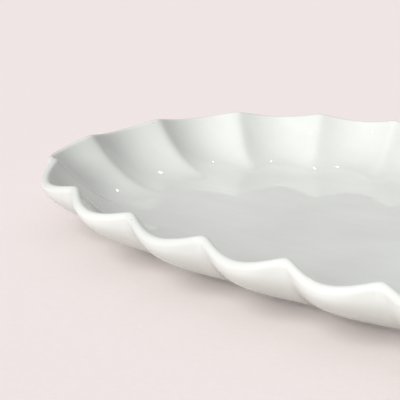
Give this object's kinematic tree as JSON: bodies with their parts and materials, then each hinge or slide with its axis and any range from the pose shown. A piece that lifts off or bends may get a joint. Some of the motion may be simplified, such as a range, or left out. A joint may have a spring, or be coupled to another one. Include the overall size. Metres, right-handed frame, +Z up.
{
  "type": "serving platter",
  "caption": "Oval white porcelain serving platter with a flat well, a low fluted wall, a wavy rolled rim and a bare ground foot ring.",
  "frame": {"origin": "middle of the foot ring's seat, on the table, at the bottom centre of the bounding box", "axes": "+X along the length, +Y across the width, +Z up out of the well"},
  "size_m": [0.4064, 0.28, 0.0343],
  "materials": {
    "porcelain": "fired white porcelain clay, ground bare and matte where it shows on the foot ring's seat",
    "glaze": "clear glossy feldspar glaze over white clay, with a very slight grey-green cast"
  },
  "bodies": {
    "root": {"porcelain_body": "porcelain", "glaze_coat": "glaze", "base_glaze": "glaze"}
  },
  "joints": []
}
